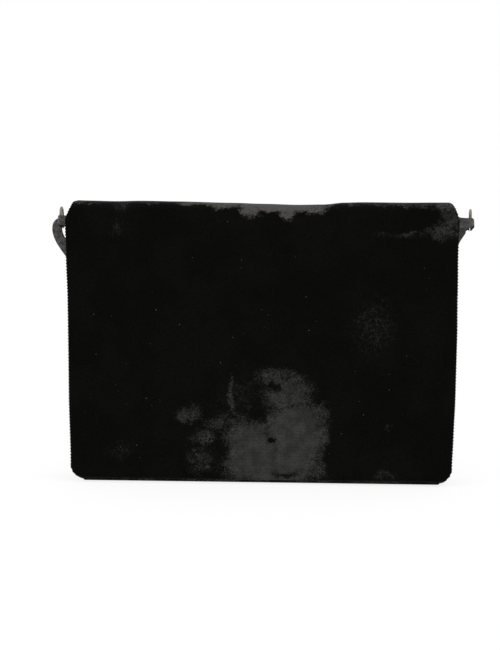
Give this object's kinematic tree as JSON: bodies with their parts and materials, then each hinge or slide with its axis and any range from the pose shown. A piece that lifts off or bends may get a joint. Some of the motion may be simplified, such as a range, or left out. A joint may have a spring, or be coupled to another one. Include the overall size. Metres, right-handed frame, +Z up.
{
  "type": "evening bag",
  "caption": "Flat velvet evening bag with a full-length fold-over flap, hidden magnetic snap, folded side gussets and a limp strap on wire rings.",
  "frame": {"origin": "centre of the base's underside, on the surface that the bag stands on", "axes": "+Z up, +X along the bag's length to the viewer's right, -Y out of the flap's face"},
  "size_m": [0.2708, 0.0461, 0.1795],
  "materials": {
    "black_velvet": "deep black pile velvet, worn grey where it is held",
    "gusset_velvet": "black velvet, less worn",
    "grey_board": "grey-brown millboard stiffener",
    "black_satin": "black satin lining",
    "nickel": "aged nickel plate, softly polished",
    "magnet": "dark sintered ferrite",
    "washer_steel": "plain pressed steel",
    "strap_velvet": "narrow black velvet ribbon with a grey satin back"
  },
  "bodies": {
    "case": {"base_velvet": "black_velvet", "base_board": "grey_board", "base_lining": "black_satin", "back_velvet": "black_velvet", "back_board": "grey_board", "back_lining": "black_satin", "slip_pocket": "black_satin", "gusset_left": "gusset_velvet", "gusset_right": "gusset_velvet", "gusset_lining_left": "black_satin", "gusset_lining_right": "black_satin", "tab_left": "strap_velvet", "tab_right": "strap_velvet", "ring_left": "nickel", "ring_right": "nickel"},
    "front": {"front_velvet": "black_velvet", "front_board": "grey_board", "front_lining": "black_satin", "snap_cup": "nickel", "snap_magnet": "magnet", "cup_washer": "washer_steel"},
    "spine": {"spine_velvet": "black_velvet", "spine_board": "grey_board", "spine_lining": "black_satin"},
    "flap": {"flap_velvet": "black_velvet", "flap_board": "grey_board", "flap_lining": "black_satin", "snap_stud": "nickel", "stud_washer": "washer_steel"},
    "strap": {"strap": "strap_velvet", "strap_loop_left": "strap_velvet", "strap_loop_right": "strap_velvet"}
  },
  "joints": [
    {"name": "flap_hinge", "type": "hinge", "parent": "case", "child": "spine", "pos_m": [0, 0.014, 0.1795], "axis": [-1, 0, 0], "range_deg": [0, 130]},
    {"name": "flap_fold", "type": "hinge", "parent": "spine", "child": "flap", "pos_m": [0, -0.00499, 0.1795], "axis": [-1, 0, 0], "range_deg": [0, 85.5]},
    {"name": "front_tilt", "type": "hinge", "parent": "case", "child": "front", "pos_m": [0, -0.014, 0], "axis": [1, 0, 0], "range_deg": [0, 8], "deforming": ["gusset_left", "gusset_right", "gusset_lining_left", "gusset_lining_right"]},
    {"name": "strap_swing", "type": "hinge", "parent": "case", "child": "strap", "pos_m": [0, 0.0159, 0.168], "axis": [1, 0, 0], "range_deg": [0, 180]}
  ],
  "couplings": [
    {"joint": "flap_fold", "follows": "flap_hinge", "ratio": 0.6572},
    {"joint": "front_tilt", "follows": "flap_hinge", "ratio": 0.061}
  ]
}
